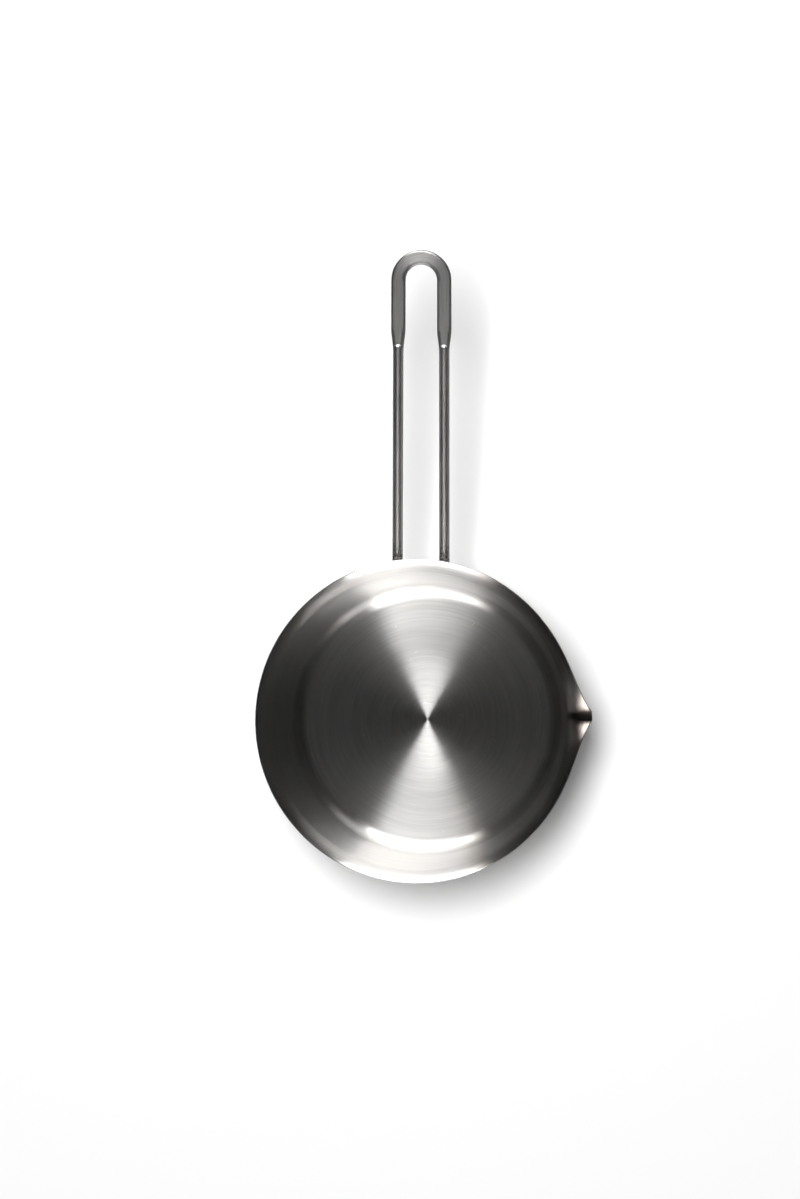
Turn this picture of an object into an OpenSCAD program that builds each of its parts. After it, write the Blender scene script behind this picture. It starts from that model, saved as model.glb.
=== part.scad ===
// Stainless steel saucepan with a pouring spout and a handle bent from one round bar.
// Millimetres. The origin is the centre of the base on the table, +Z is up,
// +Y runs along the handle and +X is the side of the spout.

/* [Pan] */
// Diameter across the flared rim, without the spout
rim_diameter = 188; // [150:1:240]
// Height from the table to the rim
pan_height = 86; // [70:1:120]
// Thickness of the drawn steel sheet
sheet = 1; // [0.6:0.1:1.4]
// Lean of the wall from upright, in degrees
wall_lean = 4.6; // [3:0.1:9]
// Inside radius between the floor and the wall
corner_radius = 9.5; // [4:0.5:12]

/* [Rim] */
// Inside radius of the bend that flares the rim
lip_radius = 15.5; // [6:0.5:20]
// Lean of the flared edge from upright, in degrees
lip_lean = 50; // [30:1:65]
// Straight run of the sheet past that bend
lip_land = 1.5; // [0.5:0.1:4]

/* [Spout] */
// How far the tip stands out past the round rim
spout_reach = 8.4; // [3:0.1:12]
// Turn of the spout towards the handle, in degrees
spout_turn = 3; // [-10:0.5:10]
// Width of the flat end of the tip
tip_width = 4.8; // [3:0.1:8]
// Depth of the valley that the liquid runs through, below the rim at the tip
valley_depth = 6; // [2:0.1:8]
// Turn from the valley's middle over which its bottom is round, in degrees
valley_round = 3; // [1:0.5:5]
// Height of wall, down from the rim, that the spout is drawn from
spout_drop = 22; // [14:1:40]
// Turn round the rim in which the spout's form falls to about a third, in degrees
spout_fade = 7.5; // [5:0.5:10]
// Turn from the tip to where the rim is round again, in degrees
spout_span = 40; // [30:1:60]

/* [Base] */
// Thickness of the aluminium core
core_thickness = 4.5; // [3:0.1:8]
// How far the core's edge stays inside the edge of the pan's flat floor
core_inset = 1.2; // [0.9:0.1:5]
// Thickness of the steel cap
cap_sheet = 0.7; // [0.4:0.1:1]
// Outside radius round the lower edge of the cap
cap_corner = 2; // [1.5:0.1:3]
// Depth of the hollow under the base
base_hollow = 0.4; // [0.1:0.1:0.8]
// Width of the flat ring that stands on the table
rest_ring = 14; // [8:1:30]
// Width of the slope between that ring and the hollow
hollow_slope = 6; // [2:1:12]

/* [Handle] */
// Diameter of the round bar
bar_diameter = 6; // [4:0.5:8]
// Distance from the pan's axis to the far end of the loop
handle_reach = 268.3; // [200:0.1:340]
// Rise of the handle, in degrees
handle_rise = 14; // [5:1:25]
// Distance between the centres of the two legs at the pan
leg_spacing = 27.4; // [20:0.1:40]
// Outside width of the hanging loop
loop_width = 34.4; // [26:0.1:44]
// Radius of the bar's centre line where it turns down to the pan
bend_radius = 9; // [6:0.5:14]

/* [Pressed loop] */
// Width of the bar where it is pressed flat
pressed_width = 8.2; // [6.5:0.1:9]
// Thickness of the bar where it is pressed flat
pressed_thickness = 3.4; // [3:0.1:5]
// Radius of the pressed bar's edges
pressed_edge = 1.2; // [0.5:0.1:1.4]
// Length of each leg that is pressed flat
pressed_run = 28.1; // [15:0.1:60]
// Length over which the flat bar turns round again
press_fade = 11.9; // [6:0.1:20]

/* [Feet] */
// Distance from the rim down to where the bar starts to bend away
foot_drop = 17; // [12:1:30]
// Length of each foot down the wall
foot_length = 22; // [10:1:30]
// Gap between the bar and the wall, filled by the weld
foot_gap = 0.1; // [0.05:0.05:0.3]
// Chamfer on the end of each foot
foot_chamfer = 0.5; // [0.2:0.1:1]
// How far the weld spreads past the bar on each side
weld_leg = 1.3; // [0.5:0.1:2]

/* [Hidden] */

$fn = 144;

// Overrun of every cutting solid
overrun = 1;
// Segments of the wall where the small welds are cut to it
wall_fn = 720;

// Levels and radii of the shell, all on its inside face
rim_radius = rim_diameter / 2;
floor_underside = cap_sheet + core_thickness;
floor_top = floor_underside + sheet;
lip_end_r = rim_radius - sheet * cos(lip_lean);
bend_start_r = lip_end_r - lip_land * sin(lip_lean) - lip_radius * (cos(wall_lean) - cos(lip_lean));
bend_start_z = pan_height - lip_land * cos(lip_lean) - lip_radius * (sin(lip_lean) - sin(wall_lean));
corner_top_z = floor_top + corner_radius * (1 - sin(wall_lean));
floor_radius = wall_radius(corner_top_z) - corner_radius * cos(wall_lean);
spout_base_z = pan_height - spout_drop;

// Inside radius of the leaning wall at a height
function wall_radius(z) = bend_start_r - (bend_start_z - z) * tan(wall_lean);

// Number of steps in the corner, the flared bend and the straight wall below it
corner_steps = 8;
lip_steps = 6;
wall_steps = 4;

// A station on the sheet is its inside point and its lean from upright: [radius, height, lean]
function corner_station(lean) =
    [floor_radius + corner_radius * cos(lean), floor_top + corner_radius * (1 - sin(lean)), lean];
function wall_station(z) = [wall_radius(z), z, wall_lean];
function lip_station(lean) =
    [bend_start_r + lip_radius * (cos(wall_lean) - cos(lean)),
     bend_start_z + lip_radius * (sin(lean) - sin(wall_lean)), lean];
function between(low, high, share) = low + (high - low) * share;

stations = concat(
    [for (i = [0:corner_steps]) corner_station(between(90, wall_lean, i / corner_steps))],
    [for (i = [0:wall_steps - 1]) wall_station(between(spout_base_z, bend_start_z, i / wall_steps))],
    [for (i = [0:lip_steps]) lip_station(between(wall_lean, lip_lean, i / lip_steps))],
    [[lip_end_r, pan_height, lip_lean]]);

// The same station on the sheet's other face
function other_face(s) = [s[0] + sheet * cos(s[2]), s[1] - sheet * sin(s[2])];
function reversed(list) = [for (i = [len(list) - 1:-1:0]) list[i]];

// Shape of the spout at a turn from its tip: the share left of its bulge, flat across the tip,
// the share left of its valley, round at the bottom, and how far up the drawn wall a height lies
tip_turn = asin(tip_width / 2 / (rim_radius + spout_reach));
fade_end = exp(-spout_span / spout_fade);
function faded_share(away) = max(0, (exp(-away / spout_fade) - fade_end) / (1 - fade_end));
function bulge_share(turn) = faded_share(max(0, abs(turn) - tip_turn));
function valley_share(turn) = faded_share(norm([turn, valley_round]) - valley_round);
function drawn_share(z) = max(0, z - spout_base_z) / spout_drop;

// The form rises late up the wall, so that the flanks turn outwards
spout_power = 3;
function spout_point(point, share, turn) =
    let (drawn = pow(share, spout_power),
         r = point[0] + spout_reach * bulge_share(turn) * drawn)
    [r * cos(turn + spout_turn), r * sin(turn + spout_turn),
     point[1] - valley_depth * valley_share(turn) * drawn];

// Turns of the shell's points from the tip: even across it, wider and wider down the flanks of
// the spout, and even again round the rest of the rim
tip_steps = 3;
flank_steps = 17;
flank_spread = 1.8;
round_steps = 70;
half_turns = concat(
    [for (i = [1:tip_steps]) tip_turn * i / tip_steps],
    [for (i = [1:flank_steps]) between(tip_turn, spout_span, pow(i / flank_steps, flank_spread))]);
shell_turns = concat(
    [for (t = reversed(half_turns)) -t], [0], half_turns,
    [for (i = [1:round_steps - 1]) between(spout_span, 360 - spout_span, i / round_steps)]);

// Rings of the shell: up the inside face, over the rim and down the outside face
function shell_ring(point, share) = [for (turn = shell_turns) spout_point(point, share, turn)];
shell_rings = concat(
    [for (s = stations) shell_ring(s, drawn_share(s[1]))],
    [for (s = reversed(stations)) shell_ring(other_face(s), drawn_share(s[1]))]);

// Base
core_radius = floor_radius - core_inset;
cap_radius = core_radius + cap_sheet;
core_corner = cap_corner - cap_sheet;
hollow_edge = cap_radius - cap_corner - rest_ring;

// A bar section is its half width, half thickness and edge radius
bar_radius = bar_diameter / 2;
edge_steps = 7;
flat_bar = [pressed_width / 2, pressed_thickness / 2, pressed_edge];
function round_section(radius) = [radius, radius, radius];
round_bar = round_section(bar_radius);
function bar_outline(size) = [for (q = [0:3], i = [0:edge_steps - 1])
    let (a = 90 * (q + (i + 0.5) / edge_steps),
         side = q == 0 || q == 3 ? 1 : -1,
         top = q < 2 ? 1 : -1)
    [side * (size[0] - size[2]) + size[2] * cos(a), top * (size[1] - size[2]) + size[2] * sin(a)]];

// Where the bar leaves the wall and where its bend ends
foot_x = leg_spacing / 2;
foot_top_z = pan_height - foot_drop;
wall_outside = wall_radius(foot_top_z) + sheet / cos(wall_lean);
foot_axis_r = wall_outside + (bar_radius + foot_gap) / cos(wall_lean);
foot_turn = asin(foot_x / foot_axis_r);
foot_lean = atan(tan(wall_lean) / cos(foot_turn));
bend_end_y = foot_axis_r * cos(foot_turn) + bend_radius * (cos(foot_lean) - sin(handle_rise));
bend_end_z = foot_top_z + bend_radius * (cos(handle_rise) - sin(foot_lean));
bend_turn = 90 - handle_rise - foot_lean;

// The loop's centre in the sloping plane of the handle, and the legs that run tangent to it
loop_radius = (loop_width - pressed_width) / 2;
loop_y = (handle_reach - bend_end_y) / cos(handle_rise) - loop_width / 2;
leg_length = sqrt(foot_x * foot_x + loop_y * loop_y - loop_radius * loop_radius);
leg_toe = atan2(foot_x, loop_y) - asin(loop_radius / sqrt(foot_x * foot_x + loop_y * loop_y));
round_run = leg_length - pressed_run - press_fade;

// Stations of the pressed part's end: the width narrows slowly, the thickness in a short step
fade_shares = [0, 0.1, 0.17, 0.2, 0.24, 0.28, 0.31, 0.4, 0.6, 0.8, 1];
step_start_share = 0.17;
step_end_share = 0.31;
function eased(share) = let (s = min(max(share, 0), 1)) s * s * (3 - 2 * s);
function fade_size(share) =
    let (step = eased((share - step_start_share) / (step_end_share - step_start_share)))
    [between(round_bar[0], flat_bar[0], eased(share)),
     between(round_bar[1], flat_bar[1], step),
     between(round_bar[2], flat_bar[2], step)];

// A ring of the bar's skin: an outline set across the bar at a point of its centre line
function bar_ring(centre, across, up, size) =
    [for (p = bar_outline(size)) centre + p[0] * across + p[1] * up];

// The right half of the bar in the handle's sloping plane, from the foot's end to the loop's tip
toe_along = [-sin(leg_toe), cos(leg_toe), 0];
toe_across = [cos(leg_toe), sin(leg_toe), 0];
plane_up = [0, 0, 1];
leg_start = [foot_x, 0, 0];
bend_steps = 8;
loop_steps = 12;
function leg_ring(run, size) = bar_ring(leg_start + run * toe_along, toe_across, plane_up, size);
function bend_ring(turn, down, size) = bar_ring(
    leg_start - (bend_radius * sin(turn) + down * cos(turn)) * toe_along
        - (bend_radius * (1 - cos(turn)) + down * sin(turn)) * plane_up,
    toe_across, cos(turn) * plane_up - sin(turn) * toe_along, size);
function loop_ring(turn) =
    let (out = [cos(turn), sin(turn), 0])
    bar_ring([0, loop_y, 0] + loop_radius * out, out, plane_up, flat_bar);
right_rings = concat(
    [bend_ring(bend_turn, foot_length, round_section(bar_radius - foot_chamfer)),
     bend_ring(bend_turn, foot_length - foot_chamfer, round_bar)],
    [for (i = [bend_steps:-1:0]) bend_ring(bend_turn * i / bend_steps, 0, round_bar)],
    [for (share = fade_shares) leg_ring(round_run + press_fade * share, fade_size(share))],
    [for (i = [0:loop_steps]) loop_ring(between(leg_toe, 90, i / loop_steps))]);
function mirrored(ring) = [for (p = ring) [-p[0], p[1], p[2]]];
left_rings = [for (i = [len(right_rings) - 2:-1:0]) mirrored(right_rings[i])];

// Weld section beside a foot: it climbs the bar to this turn from the wall
weld_climb = 62;
weld_root = bar_radius + foot_gap + sheet / 2;
weld_top = bar_radius * cos(weld_climb);
weld_half_width = bar_radius + weld_leg;
weld_top_half_width = bar_radius * sin(weld_climb);

// A solid skin through equal closed outlines, from the first one to the last
module loft(rings) {
    sides = len(rings[0]);
    last = len(rings) - 1;
    skin = [for (j = [0:last - 1], i = [0:sides - 1])
        let (a = j * sides + i, b = j * sides + (i + 1) % sides)
        each [[a, a + sides, b], [b, a + sides, b + sides]]];
    start_cap = [[for (i = [0:sides - 1]) i]];
    end_cap = [[for (i = [sides - 1:-1:0]) last * sides + i]];
    polyhedron(points = [for (ring = rings) each ring],
               faces = concat(skin, start_cap, end_cap), convexity = 6);
}

module pan_body() {
    color("lightsteelblue")
        loft(reversed(shell_rings));
}

// Half section of the base, from the axis to a radius, above the hollow and a rounded lower edge
module base_half(radius, bottom, top, edge) {
    difference() {
        polygon([[0, bottom + base_hollow], [hollow_edge - hollow_slope, bottom + base_hollow],
                 [hollow_edge, bottom], [radius, bottom], [radius, top], [0, top]]);
        translate([radius - edge, bottom - overrun])
            square([edge + overrun, edge + overrun]);
    }
    translate([radius - edge, bottom + edge])
        circle(r = edge);
}

module core_disc() {
    color("silver")
        rotate_extrude()
            base_half(core_radius, cap_sheet, floor_underside, core_corner);
}

module base_cap() {
    color("lightsteelblue")
        rotate_extrude()
            difference() {
                base_half(cap_radius, 0, floor_underside, cap_corner);
                base_half(core_radius, cap_sheet, floor_underside + overrun, core_corner);
            }
}

// Frame in the handle's sloping plane, between the two bends
module handle_plane() {
    translate([0, bend_end_y, bend_end_z])
        rotate([handle_rise, 0, 0])
            children();
}

// Frame of the right leg: +Y runs along the leg to the loop
module leg_frame() {
    handle_plane()
        translate([foot_x, 0, 0])
            rotate([0, 0, leg_toe])
                children();
}

// Frame at the top of the right foot: +Y runs down the foot and +X points at the wall
module foot_frame() {
    leg_frame()
        translate([0, 0, -bend_radius])
            rotate([90, 0, 90])
                rotate([0, 0, 90 + bend_turn])
                    translate([bend_radius, 0, 0])
                        children();
}

module round_foot(extra) {
    translate([0, -extra, 0])
        rotate([-90, 0, 0])
            cylinder(h = foot_length + extra, r = bar_radius);
}

module handle_bar() {
    color("slategray")
        handle_plane()
            loft(reversed(concat(right_rings, left_rings)));
}

// Weld round the right foot: a fillet down both sides that closes below the bar's end
module weld_metal() {
    rotate([-90, 0, 0])
        linear_extrude(foot_length)
            polygon([[weld_root, weld_half_width], [weld_top, weld_top_half_width],
                     [weld_top, -weld_top_half_width], [weld_root, -weld_half_width]]);
    translate([0, foot_length, 0])
        rotate([0, 90, 0])
            rotate_extrude(angle = 180)
                polygon([[0, weld_top], [weld_top_half_width, weld_top],
                         [weld_half_width, weld_root], [0, weld_root]]);
}

module weld() {
    low_z = foot_top_z - foot_length - 2 * weld_half_width;
    high_z = foot_top_z + weld_half_width;
    color("gainsboro") difference() {
        foot_frame()
            rotate([0, foot_turn, 0])
                weld_metal();
        foot_frame()
            round_foot(overrun);
        translate([0, 0, low_z])
            cylinder(h = high_z - low_z, $fn = wall_fn,
                     r1 = wall_radius(low_z) + sheet / cos(wall_lean),
                     r2 = wall_radius(high_z) + sheet / cos(wall_lean));
    }
}

module weld_right() {
    weld();
}

module weld_left() {
    mirror([1, 0, 0])
        weld();
}

pan_body();
core_disc();
base_cap();
handle_bar();
weld_left();
weld_right();
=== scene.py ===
"""Looks of a stainless steel saucepan with a pouring spout and a handle bent from one round bar.

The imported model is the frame. Lengths are in metres, +Z is up, +Y runs along the handle and the spout
is near +X. The drawn pan, the bent bar and the weld beads are modelled here and stand for their plain
solids. The core and the cap keep their solids and are dressed here.
"""

import logging
import math
from dataclasses import dataclass
from enum import Enum
from functools import reduce

import bpy
import numpy as np
from mathutils import Matrix, Vector


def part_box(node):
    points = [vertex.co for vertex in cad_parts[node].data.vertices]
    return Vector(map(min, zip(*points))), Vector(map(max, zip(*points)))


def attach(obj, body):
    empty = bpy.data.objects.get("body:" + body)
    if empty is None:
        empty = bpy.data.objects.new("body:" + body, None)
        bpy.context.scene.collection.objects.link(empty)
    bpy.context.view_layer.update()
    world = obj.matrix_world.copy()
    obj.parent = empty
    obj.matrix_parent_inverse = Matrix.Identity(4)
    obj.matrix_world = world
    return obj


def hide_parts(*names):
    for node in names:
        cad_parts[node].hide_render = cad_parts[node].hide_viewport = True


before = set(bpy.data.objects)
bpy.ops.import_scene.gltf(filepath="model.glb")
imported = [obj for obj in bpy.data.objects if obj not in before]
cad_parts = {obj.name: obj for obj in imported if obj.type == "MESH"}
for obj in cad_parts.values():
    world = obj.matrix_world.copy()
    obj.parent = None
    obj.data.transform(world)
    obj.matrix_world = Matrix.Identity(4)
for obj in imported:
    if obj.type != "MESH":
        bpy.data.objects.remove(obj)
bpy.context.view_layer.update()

MM = 0.001
QUARTER_TURN = math.radians(90)
MERGE_DISTANCE = 0.01 * MM
SMOOTH_ANGLE = math.radians(35)
BODY = "root"
BAR_MAP = "bar"
PRESSED = "pressed"
# Mask of how far the spout is drawn out; it places the spout's painted shade.
SPOUT_SHADE_MASK = "drawn"
# Mask of the painted shade blots on the bend down to each foot.
FOOT_SHADE_MASK = "heated"
FLOAT = "NodeSocketFloat"
VECTOR = "NodeSocketVector"
log = logging.getLogger("saucepan")

Colour = tuple[float, float, float]
Place = tuple[float, float, float]
Range = tuple[float, float]
Levels = tuple[float, float, float]
Socket = bpy.types.NodeSocket

WHITE: Colour = (1.0, 1.0, 1.0)
AXIS: Place = (0.0, 0.0, 1.0)


class Side(Enum):
    """Side of the handle, as the sign of X there."""

    LEFT = -1
    RIGHT = 1


class Brushing(Enum):
    """Way that the brushing marks run on a piece."""

    ROUND = "round"
    ALONG = "along"


def between(low: float, high: float, share: float) -> float:
    """Return the value at a share of the way from low to high."""
    return low + (high - low) * share


def eased(share: np.ndarray | float) -> np.ndarray | float:
    """Return a share that starts and ends smoothly, held between 0 and 1."""
    held = np.clip(share, 0.0, 1.0)
    return held * held * (3 - 2 * held)


def steps(low: float, high: float, count: int) -> list[float]:
    """Return count even steps above low, the last of them at high."""
    return [between(low, high, i / count) for i in range(1, count + 1)]


class Graph:
    """Shader nodes of one material, node group or world, added and linked by name."""

    def __init__(self, tree: bpy.types.NodeTree) -> None:
        """Start with an empty tree.

        Args:
            tree: The node tree that the nodes are added to.
        """
        self.tree = tree
        tree.nodes.clear()

    def add(self, kind: str, inputs: dict | None = None, **settings: object) -> bpy.types.Node:
        """Add a node and set it up.

        Args:
            kind: The node's type, without its leading ShaderNode.
            inputs: Values or sockets by the input's name or number.
            **settings: Attributes of the node itself.

        Returns:
            The new node.
        """
        node = self.tree.nodes.new(kind if kind.startswith("Node") else "ShaderNode" + kind)
        for name, value in settings.items():
            setattr(node, name, value)
        for name, value in (inputs or {}).items():
            if isinstance(value, Socket):
                self.tree.links.new(value, node.inputs[name])
            else:
                node.inputs[name].default_value = value
        return node

    def math(self, operation: str, *values: float | Socket) -> Socket:
        """Add a math node and return its output.

        Args:
            operation: The operation's name.
            *values: Numbers or sockets in the order of the node's inputs.

        Returns:
            The node's output socket.
        """
        return self.add("Math", dict(enumerate(values)), operation=operation).outputs[0]

    def plus(self, *values: float | Socket) -> Socket:
        """Return the sum of numbers and sockets, added up in order."""
        return reduce(lambda total, value: self.math("ADD", total, value), values)

    def times(self, *values: float | Socket) -> Socket:
        """Return the product of numbers and sockets, multiplied in order."""
        return reduce(lambda total, value: self.math("MULTIPLY", total, value), values)

    def vector(self, operation: str, *values: Place | Socket) -> Socket:
        """Add a vector math node and return its vector output.

        Args:
            operation: The operation's name.
            *values: Vectors or sockets in the order of the node's inputs.

        Returns:
            The node's vector output socket.
        """
        node = self.add("VectorMath", dict(enumerate(values)), operation=operation)
        return node.outputs["Vector"]

    def scaled(self, value: Socket, factor: float | Socket) -> Socket:
        """Return a vector times a factor."""
        return self.add("VectorMath", {0: value, "Scale": factor}, operation="SCALE").outputs["Vector"]

    def length(self, value: Socket) -> Socket:
        """Return the length of a vector."""
        return self.add("VectorMath", {0: value}, operation="LENGTH").outputs["Value"]

    def noise(self, place: Socket, detail: float = 2.0, rough: float = 0.5) -> Socket:
        """Return three-dimensional noise, about 0 to 1, at a place given in cells."""
        inputs = {"Vector": place, "Scale": 1.0, "Detail": detail, "Roughness": rough}
        return self.add("TexNoise", inputs, noise_dimensions="3D").outputs[0]

    def range(self, value: Socket, low: float, high: float, new_low: float = 0.0,
              new_high: float = 1.0) -> Socket:
        """Map a value from one range to another, smoothly and held at both ends.

        Args:
            value: The value to map.
            low: Where the range starts.
            high: Where the range ends.
            new_low: The result at low.
            new_high: The result at high.

        Returns:
            The mapped value.
        """
        inputs = {"Value": value, "From Min": low, "From Max": high, "To Min": new_low, "To Max": new_high}
        return self.add("MapRange", inputs, interpolation_type="SMOOTHSTEP").outputs[0]

    def mix(self, share: Socket, first: Colour, second: Colour) -> Socket:
        """Return a colour between two, by a share that varies.

        Args:
            share: The second colour's share.
            first: The colour at share 0.
            second: The colour at share 1.

        Returns:
            The mixed colour.
        """
        node = self.add("Mix", {"Factor": share}, data_type="RGBA")
        node.inputs["A"].default_value = (*first, 1.0)
        node.inputs["B"].default_value = (*second, 1.0)
        return node.outputs["Result"]

    def blended(self, first: Socket, second: Socket, share: float) -> Socket:
        """Return a value between two, with a fixed share of the second."""
        return self.plus(self.times(first, 1 - share), self.times(second, share))

    def toned(self, tone: Socket, mask: Socket, factor: float, span: Range = (0.0, 1.0)) -> Socket:
        """Return a tone that is multiplied by a factor as a mask crosses a span."""
        return self.scaled(tone, self.range(mask, *span, 1.0, factor))

    def attribute(self, name: str) -> Socket:
        """Return the number that a mesh stores under a name at each point."""
        return self.add("Attribute", attribute_name=name).outputs["Fac"]


def new_group(name: str, inputs: dict[str, tuple[str, float]], outputs: dict[str, str]) -> Graph:
    """Make an empty shader node group with named sockets.

    Args:
        name: The group's name.
        inputs: Socket kind and starting value by input name.
        outputs: Socket kind by output name.

    Returns:
        The graph of the group, with a group input node and a group output node.
    """
    tree = bpy.data.node_groups.new(name, "ShaderNodeTree")
    graph = Graph(tree)
    for socket, (kind, value) in inputs.items():
        made = tree.interface.new_socket(socket, in_out="INPUT", socket_type=kind)
        made.default_value = value
    for socket, kind in outputs.items():
        tree.interface.new_socket(socket, in_out="OUTPUT", socket_type=kind)
    return graph


FINE_DETAIL = 3.0
COARSE_DETAIL = 2.0
NOISE_MIDDLE = 0.5
BROAD_FINENESS = 0.14
BROAD_WANDER = 1.0
BROAD_SHARE = 0.3
SWING_FINENESS = 0.55
SWING_WANDER = 1.2


def ring_brushing() -> bpy.types.NodeTree:
    """Build the group for steel that was brushed while it turned about Z.

    Returns:
        A group that puts out a tone, a gloss and a normal that follow the rings.
    """
    name = "ring_brushing"
    if name in bpy.data.node_groups:
        return bpy.data.node_groups[name]
    graph = new_group(name, {"Fineness": (FLOAT, 700.0), "Swing": (FLOAT, 0.03), "Wander": (FLOAT, 1.5)},
                      {"Tone": FLOAT, "Gloss": FLOAT, "Normal": VECTOR})
    given = graph.add("NodeGroupInput").outputs
    split = graph.add("SeparateXYZ", {0: graph.add("TexCoord").outputs["Object"]}).outputs
    flat = graph.add("CombineXYZ", {"X": split["X"], "Y": split["Y"]}).outputs[0]
    turn = graph.vector("NORMALIZE", flat)
    station = graph.plus(graph.length(flat), split["Z"])

    def lines(wander: float | Socket, fineness: float | Socket, detail: float) -> Socket:
        """Return noise that is drawn out round the axis and fine across it."""
        rise = graph.add("CombineXYZ", {"Z": graph.times(station, fineness)}).outputs[0]
        return graph.noise(graph.vector("ADD", graph.scaled(turn, wander), rise), detail)

    fine = lines(given["Wander"], given["Fineness"], FINE_DETAIL)
    broad = lines(BROAD_WANDER, graph.times(given["Fineness"], BROAD_FINENESS), COARSE_DETAIL)
    swing = lines(SWING_WANDER, graph.times(given["Fineness"], SWING_FINENESS), COARSE_DETAIL)
    across = graph.vector("CROSS_PRODUCT", AXIS, turn)
    lean = graph.times(graph.math("SUBTRACT", swing, NOISE_MIDDLE), given["Swing"])
    surface = graph.add("NewGeometry").outputs["Normal"]
    normal = graph.vector("NORMALIZE", graph.vector("ADD", surface, graph.scaled(across, lean)))
    graph.add("NodeGroupOutput", {"Tone": graph.blended(fine, broad, BROAD_SHARE), "Gloss": broad,
                                  "Normal": normal})
    return graph.tree


MOTTLE_ALONG = 120.0
MOTTLE_ACROSS = 240.0
MOTTLE_SHARE = 0.15


def length_brushing() -> bpy.types.NodeTree:
    """Build the group for a bar that was brushed along its length, on its own UV map.

    Returns:
        A group that puts out a tone, a gloss and a height that follow the bar.
    """
    name = "length_brushing"
    if name in bpy.data.node_groups:
        return bpy.data.node_groups[name]
    graph = new_group(name, {"Along": (FLOAT, 40.0), "Across": (FLOAT, 1500.0)},
                      {"Tone": FLOAT, "Gloss": FLOAT, "Height": FLOAT})
    given = graph.add("NodeGroupInput").outputs
    split = graph.add("SeparateXYZ", {0: graph.add("UVMap", uv_map=BAR_MAP).outputs[0]}).outputs

    def marks(along: float | Socket, across: float | Socket, detail: float) -> Socket:
        """Return noise with its own scales along the bar and round it."""
        cells = {"X": graph.times(split["X"], along), "Y": graph.times(split["Y"], across)}
        return graph.noise(graph.add("CombineXYZ", cells).outputs[0], detail)

    fine = marks(given["Along"], given["Across"], FINE_DETAIL)
    mottle = marks(MOTTLE_ALONG, MOTTLE_ACROSS, COARSE_DETAIL)
    graph.add("NodeGroupOutput", {"Tone": graph.blended(fine, mottle, MOTTLE_SHARE), "Gloss": mottle,
                                  "Height": fine})
    return graph.tree


SCRATCH_BEND_CELLS = 12.0
SCRATCH_BEND = 0.02
PATCH_CELLS = 160.0
PATCH_RANGE: Range = (0.66, 0.7)
SPECK_CHOICE = 0.85
SMUDGE_CELLS = 22.0
SMUDGE_RANGE: Range = (0.42, 0.68)


def handling_marks() -> bpy.types.NodeTree:
    """Build the group for the marks of use: fine specks, short scratches and faint smudges.

    Returns:
        A group that puts out a mask of the specks and scratches and a smudge mask.
    """
    name = "handling_marks"
    if name in bpy.data.node_groups:
        return bpy.data.node_groups[name]
    graph = new_group(name, {"Scratch Cells": (FLOAT, 70.0), "Scratch Width": (FLOAT, 0.006),
                             "Speck Cells": (FLOAT, 150.0), "Speck Size": (FLOAT, 0.07)},
                      {"Scratches": FLOAT, "Smudges": FLOAT})
    given = graph.add("NodeGroupInput").outputs
    place = graph.add("TexCoord").outputs["Object"]

    def clouds(cells: float, detail: float = 1.0, output: str | int = 0) -> Socket:
        """Return plain noise in object space, with so many cells to the metre."""
        return graph.add("TexNoise", {"Vector": place, "Scale": cells, "Detail": detail}).outputs[output]

    bend = graph.scaled(clouds(SCRATCH_BEND_CELLS, output="Color"), SCRATCH_BEND)
    cracks = graph.add("TexVoronoi", {"Vector": graph.vector("ADD", place, bend),
                                      "Scale": given["Scratch Cells"]}, feature="DISTANCE_TO_EDGE")
    line = graph.math("LESS_THAN", cracks.outputs["Distance"], given["Scratch Width"])
    scratches = graph.times(line, graph.range(clouds(PATCH_CELLS), *PATCH_RANGE))
    dots = graph.add("TexVoronoi", {"Vector": place, "Scale": given["Speck Cells"]}).outputs
    dot = graph.math("LESS_THAN", dots["Distance"], given["Speck Size"])
    pick = graph.add("SeparateXYZ", {0: dots["Color"]}).outputs["X"]
    specks = graph.times(dot, graph.math("GREATER_THAN", pick, SPECK_CHOICE))
    smudges = graph.range(clouds(SMUDGE_CELLS, FINE_DETAIL), *SMUDGE_RANGE)
    graph.add("NodeGroupOutput", {"Scratches": graph.math("MAXIMUM", scratches, specks),
                                  "Smudges": smudges})
    return graph.tree


def new_material(name: str) -> tuple[bpy.types.Material, Graph]:
    """Make an empty material of nodes.

    Args:
        name: The material's name.

    Returns:
        The material and the graph of its nodes.
    """
    material = bpy.data.materials.new(name)
    material.use_nodes = True
    return material, Graph(material.node_tree)


ACROSS_BRUSHING = 0.25
FACING_BLEND = 0.5


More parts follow.
